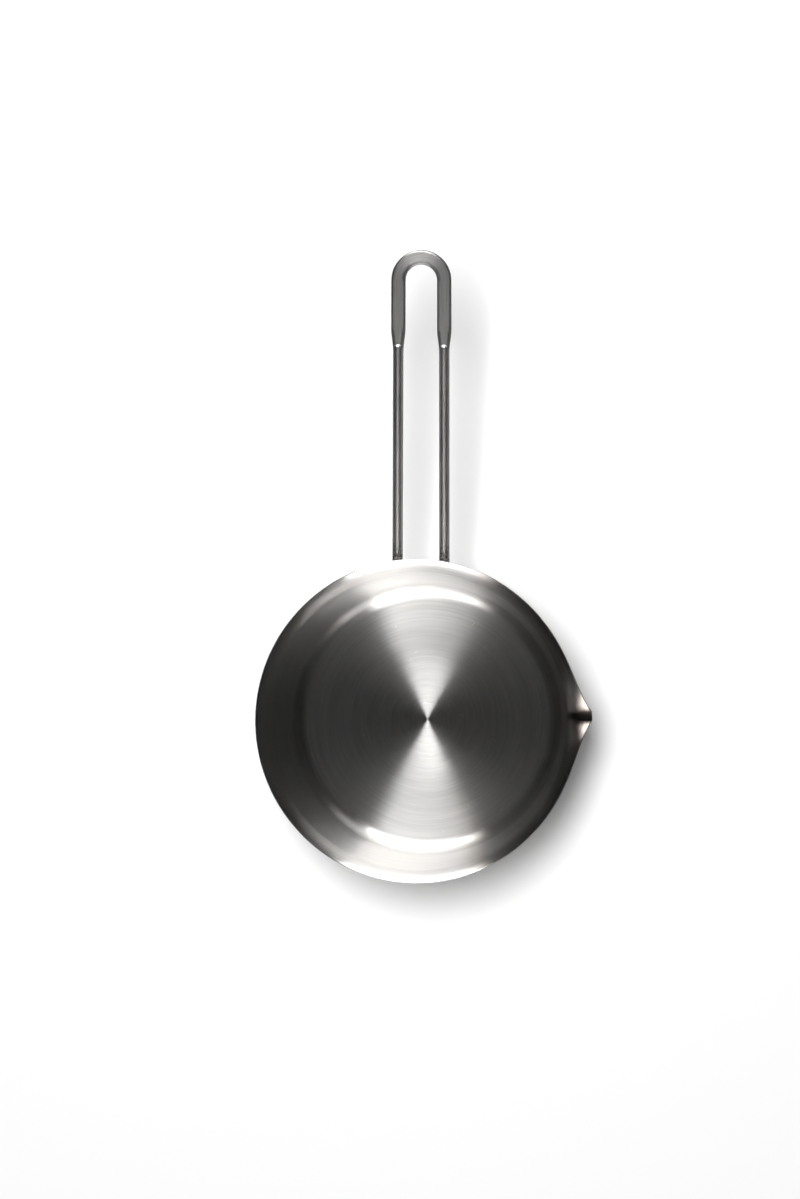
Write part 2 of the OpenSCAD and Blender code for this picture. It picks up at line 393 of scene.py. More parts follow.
@dataclass(frozen=True)
class SteelFinish:
    """A metal finish: its tones, its gloss and the way that it was brushed."""

    name: str
    brushing: Brushing
    light: Colour = (0.725, 0.715, 0.703)
    dark: Colour = (0.435, 0.427, 0.418)
    roughness: float = 0.34
    roughness_spread: float = 0.02
    anisotropy: float = 1.0
    fineness: float = 1000.0
    swing: float = 0.05
    bump_height: float = 0.00001
    edge_tone: float = 0.4
    scratch_blur: float = 0.2
    # Painted glint: scratches and specks are real wear, drawn lighter in tone.
    scratch_glint: float = 1.35
    # Painted shade: a darker, warmer tone multiplied in on the spout, across the mask's range.
    spout_shade: Colour = WHITE
    spout_shade_range: Range = (0.1, 0.45)
    # Painted shade on the bar: darker towards its outline, on its pressed faces and in blotches at its
    # feet.
    rim_shade: float = 1.0
    rim_range: Range = (0.25, 0.6)
    pressed_shade: float = 1.0
    # Painted shade: dark blotches on the bend down to each foot.
    foot_shade_tone: float = 1.0
    shade_blot_cells: float = 620.0
    shade_blot_roughness: float = 0.7
    shade_blot_range: Range = (0.47, 0.53)

    def brushed(self, graph: Graph) -> tuple[bpy.types.Node, Socket, Socket]:
        """Add the brushing that the finish names.

        Args:
            graph: The material's graph.

        Returns:
            The brushing's node, the normal and the tangent.
        """
        if self.brushing is Brushing.ROUND:
            brushing = graph.add("Group", node_tree=ring_brushing())
            brushing.inputs["Fineness"].default_value = self.fineness
            brushing.inputs["Swing"].default_value = self.swing
            place = graph.add("TexCoord").outputs["Object"]
            tangent = graph.vector("NORMALIZE", graph.vector("CROSS_PRODUCT", AXIS, place))
            return brushing, brushing.outputs["Normal"], tangent
        brushing = graph.add("Group", node_tree=length_brushing())
        bump = graph.add("Bump", {"Height": brushing.outputs["Height"], "Distance": self.bump_height})
        tangent = graph.add("Tangent", direction_type="UV_MAP", uv_map=BAR_MAP).outputs[0]
        return brushing, bump.outputs[0], tangent

    def bar_tone(self, graph: Graph, tone: Socket) -> Socket:
        """Paint shade on the bar: darker towards its outline, on its pressed faces and in blotches on the
        bend down to each foot.

        Args:
            graph: The material's graph.
            tone: The bar's tone so far.

        Returns:
            The darker tone.
        """
        # Painted shade: the bar darkens towards its outline, standing in for the dark sides that it
        # mirrors.
        facing = graph.add("LayerWeight", {"Blend": FACING_BLEND}).outputs["Facing"]
        tone = graph.toned(tone, facing, self.rim_shade, self.rim_range)
        # Painted shade: the pressed faces are darker, dimming what they mirror.
        tone = graph.toned(tone, graph.attribute(PRESSED), self.pressed_shade)
        # Painted shade: dark blotches on the bend down to each foot, standing in for the dark wall and
        # floor that it mirrors there.
        place = graph.scaled(graph.add("TexCoord").outputs["Object"], self.shade_blot_cells)
        shade_blots = graph.range(graph.noise(place, FINE_DETAIL, self.shade_blot_roughness), *self.shade_blot_range)
        return graph.toned(tone, graph.times(shade_blots, graph.attribute(FOOT_SHADE_MASK)), self.foot_shade_tone)

    def material(self) -> bpy.types.Material:
        """Return the material, which is made the first time.

        Returns:
            The finish as a material.
        """
        if self.name in bpy.data.materials:
            return bpy.data.materials[self.name]
        material, graph = new_material(self.name)
        marks = graph.add("Group", node_tree=handling_marks()).outputs
        brushing, normal, tangent = self.brushed(graph)
        tone = graph.mix(brushing.outputs["Tone"], self.dark, self.light)
        # Painted glint on real wear: the scratches and specks come out lighter.
        tone = graph.toned(tone, marks["Scratches"], self.scratch_glint)
        if self.rim_shade < 1:
            tone = self.bar_tone(graph, tone)
        # Painted shade: the spout takes a darker, warmer tone that stands in for its dim, warm
        # reflections.
        if self.spout_shade != WHITE:
            drawn = graph.range(graph.attribute(SPOUT_SHADE_MASK), *self.spout_shade_range)
            tone = graph.vector("MULTIPLY", tone, graph.mix(drawn, WHITE, self.spout_shade))
        gloss = graph.math("SUBTRACT", brushing.outputs["Gloss"], NOISE_MIDDLE)
        rough = graph.plus(graph.times(gloss, self.roughness_spread),
                           graph.times(marks["Smudges"], self.roughness_spread),
                           self.roughness, graph.times(marks["Scratches"], self.scratch_blur))
        steel = graph.add("BsdfPrincipled", {
            "Base Color": tone, "Roughness": rough, "Normal": normal, "Tangent": tangent, "Metallic": 1.0,
            "Anisotropic": self.anisotropy, "Anisotropic Rotation": ACROSS_BRUSHING,
            "Specular Tint": (*[self.edge_tone] * 3, 1.0)})
        graph.add("OutputMaterial", {"Surface": steel.outputs[0]})
        return material


def new_piece(name: str) -> bpy.types.Object:
    """Name the object that was just added.

    Args:
        name: The name of the object and of its mesh.

    Returns:
        The object.
    """
    piece = bpy.context.active_object
    piece.name = name
    piece.data.name = name
    return piece


def select_only(piece: bpy.types.Object | None) -> None:
    """Deselect everything and then select one piece, or none.

    Args:
        piece: The piece to select.
    """
    bpy.ops.object.select_all(action="DESELECT")
    if piece is not None:
        piece.select_set(True)
        bpy.context.view_layer.objects.active = piece


def edit_all() -> None:
    """Enter edit mode on the active piece with all of it selected."""
    bpy.ops.object.mode_set(mode="EDIT")
    bpy.ops.mesh.select_all(action="SELECT")


def face_outwards() -> None:
    """Turn every face of the piece in edit mode outwards, and leave edit mode."""
    bpy.ops.mesh.select_all(action="SELECT")
    bpy.ops.mesh.normals_make_consistent(inside=False)
    bpy.ops.object.mode_set(mode="OBJECT")


def apply_modifiers(piece: bpy.types.Object) -> None:
    """Apply every modifier of a piece in order.

    Args:
        piece: The piece, which is left selected.
    """
    select_only(piece)
    for modifier in list(piece.modifiers):
        bpy.ops.object.modifier_apply(modifier=modifier.name)


def points_of(piece: bpy.types.Object) -> np.ndarray:
    """Read a piece's points.

    Args:
        piece: The piece.

    Returns:
        The points as rows of X, Y and Z.
    """
    flat = np.empty(len(piece.data.vertices) * 3)
    piece.data.vertices.foreach_get("co", flat)
    return flat.reshape(-1, 3)


def set_points(piece: bpy.types.Object, points: np.ndarray) -> None:
    """Move the piece's points to new places."""
    piece.data.vertices.foreach_set("co", points.astype(np.float32).ravel())
    piece.data.update()


def store_mask(piece: bpy.types.Object, name: str, values: np.ndarray) -> None:
    """Store one number for each point, which the piece's material reads by name."""
    mask = piece.data.attributes.new(name, "FLOAT", "POINT")
    mask.data.foreach_set("value", values.astype(np.float32))


def radius_and_turn(points: np.ndarray) -> tuple[np.ndarray, np.ndarray]:
    """Return the points' distances from the upright axis and their turns round it."""
    return np.hypot(points[:, 0], points[:, 1]), np.arctan2(points[:, 1], points[:, 0])


def set_round(points: np.ndarray, radius: np.ndarray, turn: np.ndarray) -> None:
    """Put points at new distances from the axis and turns round it, at their own heights."""
    points[:, 0] = radius * np.cos(turn)
    points[:, 1] = radius * np.sin(turn)


def moved(points: np.ndarray, place: Matrix) -> np.ndarray:
    """Return rows of points after a turn and a move."""
    return points @ np.array(place.to_3x3()).T + np.array(place.translation)


def straight_rod(name: str, radius: float, sides: int, moves: list[float]) -> bpy.types.Object:
    """Draw a straight rod along Y, ring by ring, from a filled circle at the origin.

    Args:
        name: The rod's name.
        radius: The rod's radius.
        sides: How many points each ring has.
        moves: The distances from ring to ring.

    Returns:
        The rod, closed at both ends.
    """
    select_only(None)
    bpy.ops.mesh.primitive_circle_add(vertices=sides, radius=radius, fill_type="NGON",
                                      rotation=(QUARTER_TURN, 0, 0))
    piece = new_piece(name)
    bpy.ops.object.transform_apply(location=False, rotation=True, scale=False)
    edit_all()
    for move in moves:
        bpy.ops.mesh.extrude_region_move(TRANSFORM_OT_translate={"value": (0.0, move, 0.0)})
    face_outwards()
    return piece


def give_finish(mesh: bpy.types.Mesh, finish: SteelFinish) -> None:
    """Make a finish the only material of a mesh."""
    mesh.materials.clear()
    mesh.materials.append(finish.material())


def settle(piece: bpy.types.Object, slot: str, finish: SteelFinish, *replaced: str) -> None:
    """Put a finished piece on the pan: its body, its finish and what it stands for.

    Args:
        piece: The finished piece, at the origin.
        slot: Not used.
        finish: The piece's finish.
        *replaced: The plain solids that the piece stands for.
    """
    give_finish(piece.data, finish)
    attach(piece, BODY)
    if replaced:
        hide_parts(*replaced)
    log.info("%s: %d faces, %s", piece.name, len(piece.data.polygons), finish.name)


@dataclass
class DrawnPan:
    """The pan, drawn from one sheet: floor, corner, leaning wall, flared lip and pouring spout."""

    floor_underside: float
    finish: SteelFinish
    rim_radius: float = 94 * MM
    height: float = 86 * MM
    sheet: float = 1 * MM
    wall_lean: float = math.radians(4.6)
    corner_radius: float = 9.5 * MM
    lip_radius: float = 15.5 * MM
    lip_lean: float = math.radians(50)
    lip_land: float = 1.5 * MM
    spout_turn: float = math.radians(3)
    spout_reach: float = 8.4 * MM
    tip_width: float = 4.8 * MM
    valley_depth: float = 6 * MM
    valley_round: float = math.radians(3)
    spout_drop: float = 22 * MM
    spout_fade: float = math.radians(7.5)
    spout_span: float = math.radians(40)
    spout_power: float = 3.0
    edge_round: float = 0.2 * MM
    segments: int = 420
    crowding: float = 0.8
    floor_rings: tuple[float, ...] = (2 * MM, 8 * MM, 20 * MM, 35 * MM, 50 * MM, 62 * MM, 70 * MM)
    corner_steps: int = 18
    lower_steps: int = 6
    upper_steps: int = 12
    lip_steps: int = 16
    land_steps: int = 3
    edge_angle: float = math.radians(60)
    edge_segments: int = 3

    def __post_init__(self) -> None:
        """Work out the levels and radii of the sheet's inside face."""
        self.lip_end = self.rim_radius - self.sheet * math.cos(self.lip_lean)
        self.bend_start_r = (self.lip_end - self.lip_land * math.sin(self.lip_lean)
                             - self.lip_radius * (math.cos(self.wall_lean) - math.cos(self.lip_lean)))
        self.bend_start_z = (self.height - self.lip_land * math.cos(self.lip_lean)
                             - self.lip_radius * (math.sin(self.lip_lean) - math.sin(self.wall_lean)))
        self.floor_top = self.floor_underside + self.sheet
        self.corner_top = self.floor_top + self.corner_radius * (1 - math.sin(self.wall_lean))
        self.floor_radius = (self.wall_radius(self.corner_top)
                             - self.corner_radius * math.cos(self.wall_lean))
        self.spout_base = self.height - self.spout_drop
        self.tip_turn = math.asin(self.tip_width / 2 / (self.rim_radius + self.spout_reach))

    def wall_radius(self, height: float) -> float:
        """Return the inside radius of the leaning wall at a height."""
        return self.bend_start_r - (self.bend_start_z - height) * math.tan(self.wall_lean)

    def corner_point(self, lean: float) -> tuple[float, float]:
        """Return the point of the corner where the sheet has a lean from upright."""
        return (self.floor_radius + self.corner_radius * math.cos(lean),
                self.floor_top + self.corner_radius * (1 - math.sin(lean)))

    def lip_point(self, lean: float) -> tuple[float, float]:
        """Return the point of the flared bend where the sheet has a lean from upright."""
        return (self.bend_start_r + self.lip_radius * (math.cos(self.wall_lean) - math.cos(lean)),
                self.bend_start_z + self.lip_radius * (math.sin(lean) - math.sin(self.wall_lean)))

    def profile(self) -> list[tuple[float, float]]:
        """Work out the inside face's half section, from the axis to the rim.

        Returns:
            The section's points, as radius and height.
        """
        flat = [(radius, self.floor_top) for radius in (0.0, *self.floor_rings)]
        flat.append((self.floor_radius - self.edge_round, self.floor_top))
        leans = (QUARTER_TURN, *steps(QUARTER_TURN, self.wall_lean, self.corner_steps))
        corner = [self.corner_point(lean) for lean in leans]
        heights = (steps(self.corner_top, self.spout_base, self.lower_steps)
                   + steps(self.spout_base, self.bend_start_z, self.upper_steps))
        wall = [(self.wall_radius(height), height) for height in heights]
        lip = [self.lip_point(lean) for lean in steps(self.wall_lean, self.lip_lean, self.lip_steps)]
        bend_end_r, bend_end_z = lip[-1]
        land = zip(steps(bend_end_r, self.lip_end, self.land_steps),
                   steps(bend_end_z, self.height, self.land_steps))
        return flat + corner + wall + lip + list(land)

    def draw_line(self) -> bpy.types.Object:
        """Draw the half section as one line of edges, from a point that is extruded.

        Returns:
            The line as a piece in edit mode.
        """
        select_only(None)
        line = self.profile()
        start = Vector((line[0][0], 0.0, line[0][1]))
        bpy.ops.mesh.primitive_plane_add(size=MM, location=(0, 0, 0))
        piece = new_piece("drawn_pan")
        bpy.ops.object.mode_set(mode="EDIT")
        bpy.ops.mesh.merge(type="CENTER")
        bpy.ops.transform.translate(value=start)
        for (r0, z0), (r1, z1) in zip(line, line[1:]):
            bpy.ops.mesh.extrude_region_move(TRANSFORM_OT_translate={"value": (r1 - r0, 0.0, z1 - z0)})
        return piece

    def spin(self) -> bpy.types.Object:
        """Spin the line round the axis into the open shell of the inside face.

        Returns:
            The shell, with its normals outwards.
        """
        piece = self.draw_line()
        bpy.ops.mesh.select_all(action="SELECT")
        bpy.ops.mesh.spin(steps=self.segments, angle=math.tau, center=(0, 0, 0), axis=AXIS)
        bpy.ops.mesh.select_all(action="SELECT")
        bpy.ops.mesh.remove_doubles(threshold=MERGE_DISTANCE)
        face_outwards()
        return piece

    def crowd(self, piece: bpy.types.Object) -> None:
        """Crowd the shell's points round the spout, where the form is fine.

        Args:
            piece: The shell as it was spun.
        """
        points = points_of(piece)
        radius, turn = radius_and_turn(points)
        set_round(points, radius, turn - self.crowding * np.sin(turn) + self.spout_turn)
        set_points(piece, points)

    def faded(self, away: np.ndarray) -> np.ndarray:
        """Return the share of the spout's form left at a turn away from its middle."""
        end = math.exp(-self.spout_span / self.spout_fade)
        return np.maximum((np.exp(-away / self.spout_fade) - end) / (1 - end), 0.0)

    def draw_spout(self, piece: bpy.types.Object) -> None:
        """Draw the wall and the lip out into the spout: a bulge and a valley.

        Args:
            piece: The shell, whose points move.
        """
        points = points_of(piece)
        radius, turn = radius_and_turn(points)
        turn = (turn - self.spout_turn + math.pi) % math.tau - math.pi
        bulge = self.faded(np.maximum(np.abs(turn) - self.tip_turn, 0.0))
        valley = self.faded(np.hypot(turn, self.valley_round) - self.valley_round)
        share = (np.maximum(points[:, 2] - self.spout_base, 0.0) / self.spout_drop) ** self.spout_power
        points[:, 2] -= self.valley_depth * valley * share
        set_round(points, radius + self.spout_reach * bulge * share, turn + self.spout_turn)
        set_points(piece, points)
        # The mask places the painted shade on the spout.
        store_mask(piece, SPOUT_SHADE_MASK, bulge * share)

    def thicken(self, piece: bpy.types.Object) -> None:
        """Give the shell the sheet's thickness and break the rim's sharp edges.

        Args:
            piece: The shell, which becomes a closed skin.
        """
        wall = piece.modifiers.new("sheet", "SOLIDIFY")
        wall.thickness = self.sheet
        wall.offset = -1.0
        wall.use_even_offset = True
        edge = piece.modifiers.new("rim edge", "BEVEL")
        edge.limit_method = "ANGLE"
        edge.angle_limit = self.edge_angle
        edge.width = self.edge_round
        edge.segments = self.edge_segments
        apply_modifiers(piece)
        bpy.ops.object.shade_smooth_by_angle(angle=SMOOTH_ANGLE)

    def build(self) -> bpy.types.Object:
        """Build and dress the pan.

        Returns:
            The finished piece.
        """
        piece = self.spin()
        self.crowd(piece)
        self.draw_spout(piece)
        self.thicken(piece)
        settle(piece, "pan_steel", self.finish, "pan_body")
        return piece


@dataclass
class BentBar:
    """The handle: one round bar, pressed flat in the middle and bent into a loop and two feet."""

    finish: SteelFinish
    pan: DrawnPan
    reach: float = 268.28 * MM
    bar_radius: float = 3 * MM
    rise: float = math.radians(14)
    leg_spacing: float = 27.4 * MM
    loop_width: float = 34.4 * MM
    bend_radius: float = 9 * MM
    pressed_width: float = 8.2 * MM
    pressed_thickness: float = 3.4 * MM
    pressed_edge: float = 1.2 * MM
    pressed_run: float = 28.1 * MM
    press_fade: float = 11.9 * MM
    step_start_share: float = 0.17
    step_end_share: float = 0.31
    step_bow: float = 2.2 * MM
    foot_drop: float = 17 * MM
    foot_length: float = 22 * MM
    foot_gap: float = 0.1 * MM
    foot_chamfer: float = 0.5 * MM
    # Where the painted shade blots lie, on the bend down to each foot.
    shade_reach: float = 1.0 * MM
    shade_length: float = 6.0 * MM
    shade_fade: float = 1.5 * MM
    ring_counts: tuple[int, ...] = (6, 22, 10, 44, 10, 8, 36)
    quarter_steps: int = 14
    quarter_margin: float = math.radians(1.5)
    flat_run: float = 0.97
    place_digits: int = 7

    def __post_init__(self) -> None:
        """Work out where the bar leaves the wall, runs and turns."""
        pan = self.pan
        foot_x = self.leg_spacing / 2
        foot_top = pan.height - self.foot_drop
        outside = pan.wall_radius(foot_top) + pan.sheet / math.cos(pan.wall_lean)
        axis_r = outside + (self.bar_radius + self.foot_gap) / math.cos(pan.wall_lean)
        self.foot_turn = math.asin(foot_x / axis_r)
        foot_lean = math.atan(math.tan(pan.wall_lean) / math.cos(self.foot_turn))
        bend_y = (axis_r * math.cos(self.foot_turn)
                  + self.bend_radius * (math.cos(foot_lean) - math.sin(self.rise)))
        bend_z = foot_top + self.bend_radius * (math.cos(self.rise) - math.sin(foot_lean))
        self.bend_turn = QUARTER_TURN - self.rise - foot_lean
        self.plane = Matrix.Translation((0, bend_y, bend_z)) @ Matrix.Rotation(self.rise, 4, "X")
        self.loop_radius = (self.loop_width - self.pressed_width) / 2
        self.loop_y = (self.reach - bend_y) / math.cos(self.rise) - self.loop_width / 2
        spread = math.hypot(foot_x, self.loop_y)
        self.leg_length = math.sqrt(spread ** 2 - self.loop_radius ** 2)
        self.toe = math.atan2(foot_x, self.loop_y) - math.asin(self.loop_radius / spread)
        self.leg_start = Vector((foot_x, 0, 0))
        self.bend_at = self.foot_length
        self.leg_at = self.bend_at + self.bend_radius * self.bend_turn
        self.loop_at = self.leg_at + self.leg_length
        self.middle = self.loop_at + self.loop_radius * (QUARTER_TURN - self.toe)
        self.press_end = self.loop_at - self.pressed_run
        self.press_start = self.press_end - self.press_fade

    def ring_places(self) -> list[float]:
        """Work out where the bar's rings stand: close together where its section or line changes.

        Returns:
            The rings' places along the bar, from end to end.
        """
        marks = (self.foot_chamfer, self.bend_at, self.leg_at, self.press_start,
                 between(self.press_start, self.press_end, 0.5), self.press_end, self.loop_at, self.middle)
        half = [0.0, self.foot_chamfer]
        for low, high, count in zip(marks, marks[1:], self.ring_counts):
            half += steps(low, high, count)
        return half + [2 * self.middle - place for place in reversed(half[:-1])]

    def draw_rod(self) -> bpy.types.Object:
        """Draw the bar as a straight round rod along Y.

        Returns:
            The straight rod.
        """
        places = self.ring_places()
        moves = [far - near for near, far in zip(places, places[1:])]
        return straight_rod("bent_bar", self.bar_radius, 4 * (self.quarter_steps + 1), moves)

    def pressed_share(self, along: np.ndarray) -> np.ndarray:
        """Return how far into its pressing the bar is: 0 where that begins, 1 where its fade ends."""
        to_middle = self.middle - np.abs(along - self.middle)
        return (to_middle - self.press_start) / self.press_fade

    def press(self, piece: bpy.types.Object) -> None:
        """Press the rod's middle flat, chamfer its ends, and store its masks and its UV map.

        Each quarter of a ring climbs from the bar's side to its top or its underside, with the same
        number of points, so a point's number in its ring says where it goes on the pressed section.

        Args:
            piece: The straight rod.
        """
        points = points_of(piece)
        along = points[:, 1]
        count = self.quarter_steps + 1
        angle = np.arctan2(points[:, 2], points[:, 0]) % math.tau
        number = np.rint(angle / math.tau * 4 * count - 0.5).astype(int) % (4 * count)
        quarter, step = number // count, number % count
        climb = np.where(quarter % 2 == 0, step, self.quarter_steps - step) / self.quarter_steps
        across = np.where((quarter == 0) | (quarter == 3), 1, -1)
        upward = np.where(quarter < 2, 1, -1)
        inner = QUARTER_TURN - 2 * self.quarter_margin
        end = np.minimum(along, 2 * self.middle - along)
        radius = self.bar_radius - np.maximum(self.foot_chamfer - end, 0.0)
        turn = self.quarter_margin + inner * climb
        corner = self.quarter_margin + inner * np.minimum(2 * climb, 1.0)
        inward = 1 - self.flat_run * np.maximum(2 * climb - 1, 0.0)
        flat_x = (self.pressed_width / 2 - self.pressed_edge * (1 - np.cos(corner))) * inward
        flat_z = self.pressed_thickness / 2 - self.pressed_edge * (1 - np.sin(corner))
        share = self.pressed_share(along)
        bow = self.step_bow / self.press_fade * np.cos(turn) ** 2
        thin = eased((share + bow - self.step_start_share) / (self.step_end_share - self.step_start_share))
        points[:, 0] = across * between(radius * np.cos(turn), flat_x, eased(share))
        points[:, 2] = upward * between(radius * np.sin(turn), flat_z, thin)
        angle = np.arctan2(upward * np.sin(turn), across * np.cos(turn)) % math.tau
        set_points(piece, points)
        store_mask(piece, PRESSED, thin)
        # Mask for the painted shade blots, on the upper part of the bend down to each foot.
        heated = eased((self.leg_at + self.shade_reach - end) / self.shade_fade)
        heated *= eased((end - self.leg_at + self.shade_length) / self.shade_fade)
        store_mask(piece, FOOT_SHADE_MASK, heated)
        self.lay_map(piece, along, angle)

    def lay_map(self, piece: bpy.types.Object, along: np.ndarray, angle: np.ndarray) -> None:
        """Lay the bar's UV map: metres along it, and metres round it from its outer side.

        Args:
            piece: The rod.
            along: Each point's place along the bar.
            angle: Each point's turn round the bar.
        """
        mesh = piece.data
        corner_points = np.empty(len(mesh.loops), dtype=int)
        mesh.loops.foreach_get("vertex_index", corner_points)
        turn = angle[corner_points]
        for face in mesh.polygons:
            corners = slice(face.loop_start, face.loop_start + face.loop_total)
            if np.ptp(turn[corners]) > math.pi and face.loop_total == 4:
                turn[corners] = np.where(turn[corners] < math.pi, turn[corners] + math.tau, turn[corners])
        places = np.column_stack([along[corner_points], turn * self.bar_radius])
        mesh.uv_layers.new(name=BAR_MAP).data.foreach_set("uv", places.ravel())

    def centre_frame(self, place: float) -> tuple[Vector, Vector, Vector]:
        """Return the bar's centre, its outward direction and its upper one, at a place along it.

        Args:
            place: Length along the bar from the end of the right foot.

        Returns:
            The centre, the direction away from the loop's middle line and the direction up.
        """
        mirrored = place > self.middle
        place = 2 * self.middle - place if mirrored else place
        along = Vector((-math.sin(self.toe), math.cos(self.toe), 0))
        out = Vector((math.cos(self.toe), math.sin(self.toe), 0))
        up = Vector((0, 0, 1))
        if place < self.leg_at:
            turn = min(self.bend_turn, (self.leg_at - place) / self.bend_radius)
            down = max(0.0, self.bend_at - place)
            centre = (self.leg_start
                      - (self.bend_radius * math.sin(turn) + down * math.cos(turn)) * along
                      - (self.bend_radius * (1 - math.cos(turn)) + down * math.sin(turn)) * up)
            up = math.cos(turn) * up - math.sin(turn) * along
        elif place < self.loop_at:
            centre = self.leg_start + (place - self.leg_at) * along
        else:
            turn = self.toe + (place - self.loop_at) / self.loop_radius
            out = Vector((math.cos(turn), math.sin(turn), 0))
            centre = Vector((0, self.loop_y, 0)) + self.loop_radius * out
        if mirrored:
            flip = Vector((-1, 1, 1))
            centre, out, up = centre * flip, out * flip, up * flip
        return centre, out, up

    def bend(self, piece: bpy.types.Object) -> None:
        """Bend the pressed rod along the handle's line and lift it to its rise.

        Args:
            piece: The pressed rod, along Y.
        """
        points = points_of(piece)
        places, which = np.unique(np.round(points[:, 1], self.place_digits), return_inverse=True)
        frames = [self.centre_frame(float(place)) for place in places]
        centre, out, up = (np.array([f[i] for f in frames])[which] for i in range(3))
        bent = centre + points[:, :1] * out + points[:, 2:] * up
        set_points(piece, moved(bent, self.plane))

    def build(self) -> bpy.types.Object:
        """Build and dress the bar.

        Returns:
            The finished piece.
        """
        piece = self.draw_rod()
        self.press(piece)
        self.bend(piece)
        select_only(piece)
        bpy.ops.object.shade_smooth_by_angle(angle=SMOOTH_ANGLE)
        flat = piece.modifiers.new("flat faces", "WEIGHTED_NORMAL")
        flat.keep_sharp = True
        apply_modifiers(piece)
        settle(piece, "handle_steel", self.finish, "handle_bar")
        return piece


@dataclass
class WeldBead:
    """The weld round one foot: a rippled bead down both sides and below the bar's end."""

    bar: BentBar
    side: Side
    finish: SteelFinish
    radius: float = 1.05 * MM
    offset: float = 2.9 * MM
    wall_distance: float = 2.6 * MM
    ripple_pitch: float = 0.9 * MM
    ripple_share: float = 0.12
    ripple_rise: float = 0.7
    ripple_fall: float = 0.3
    ring_step: float = 0.15 * MM
    ring_sides: int = 14
    end_run: float = 1.5 * MM
    end_swell: float = 0.35

    def foot_frame(self) -> Matrix:
        """Work out the frame at the top of the right foot.

        Returns:
            The frame, with +Y down the foot and +X at the wall.
        """
        bar = self.bar
        leg = bar.plane @ Matrix.Translation(bar.leg_start) @ Matrix.Rotation(bar.toe, 4, "Z")
        turned = (Matrix.Translation((0, 0, -bar.bend_radius))
                  @ Matrix.Rotation(QUARTER_TURN, 4, "Z") @ Matrix.Rotation(QUARTER_TURN, 4, "X")
                  @ Matrix.Rotation(QUARTER_TURN + bar.bend_turn, 4, "Z"))
        return (leg @ turned @ Matrix.Translation((bar.bend_radius, 0, 0))
                @ Matrix.Rotation(bar.foot_turn, 4, "Y"))

    def path_point(self, place: float) -> tuple[Vector, Vector]:
        """Return a point of the bead's middle line and the way across the bead there.

        Args:
            place: Length along the bead from the top of its inner run.

        Returns:
            The point in the foot's frame and the direction away from the bar.
        """
        run = self.bar.foot_length
        turn_length = math.pi * self.offset
        if place < run:
            return Vector((self.wall_distance, place, self.offset)), Vector((0, 0, 1))
        if place < run + turn_length:
            turn = (place - run) / self.offset
            out = Vector((0, math.sin(turn), math.cos(turn)))
            return Vector((self.wall_distance, run, 0)) + self.offset * out, out
        back = 2 * run + turn_length - place
        return Vector((self.wall_distance, back, -self.offset)), Vector((0, 0, -1))

    def build(self) -> bpy.types.Object:
        """Build and dress the bead.

        Returns:
            The finished piece.
        """
        side = self.side.name.lower()
        length = 2 * self.bar.foot_length + math.pi * self.offset
        count = round(length / self.ring_step)
        piece = straight_rod("weld_bead_" + side, self.radius, self.ring_sides, [length / count] * count)
        self.lay(piece, length)
        select_only(piece)
        bpy.ops.object.shade_smooth()
        settle(piece, "weld_metal", self.finish, "weld_" + side)
        return piece

    def lay(self, piece: bpy.types.Object, length: float) -> None:
        """Lay the straight bead round the foot, with its ripples and its tapered ends.

        Args:
            piece: The straight bead along Y.
            length: The bead's length.
        """
        points = points_of(piece)
        place = points[:, 1]
        phase = (place / self.ripple_pitch) % 1.0
        swell = 1 + self.ripple_share * (eased(phase / self.ripple_rise)
                                         - eased((phase - self.ripple_rise) / self.ripple_fall) - 0.5)
        end = np.minimum(place, length - place) / self.end_run
        swell *= between(self.end_swell, 1.0, np.sqrt(np.clip(end, 0.0, 1.0)))
        frames = [self.path_point(float(p)) for p in place]
        centre, out = (np.array([f[i] for f in frames]) for i in range(2))
        toward = np.array([[1.0, 0.0, 0.0]])
        laid = centre + (points[:, :1] * out + points[:, 2:] * toward) * swell[:, None]
        world = moved(laid, self.foot_frame())
        world[:, 0] *= self.side.value
        set_points(piece, world)
        if self.side is Side.LEFT:
            select_only(piece)
            edit_all()
            bpy.ops.mesh.flip_normals()
            bpy.ops.object.mode_set(mode="OBJECT")
        bpy.context.view_layer.update()


@dataclass
class CladBase:
    """The base under the pan: the aluminium core and the steel cap, which keep their solids."""

    core_finish: SteelFinish
    cap_finish: SteelFinish

    def dress(self) -> None:
        """Give the two nodes their finishes."""
        for node, finish in (("core_disc", self.core_finish), ("base_cap", self.cap_finish)):
            give_finish(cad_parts[node].data, finish)
            log.info("%s: %s", node, finish.name)


@dataclass(frozen=True)
class SoftBox:
    """One tall soft box: its name, its side and its levels at three heights at its left and right."""

    name: str
    side: int
    left: Levels
    right: Levels


BACK_BOX = SoftBox("soft_box_back", 1, (2.9, 8.2, 10.6), (0.3, 2.4, 22.0))
FRONT_BOX = SoftBox("soft_box_front", -1, (1.3, 7.2, 3.7), (0.2, 5.4, 18.8))


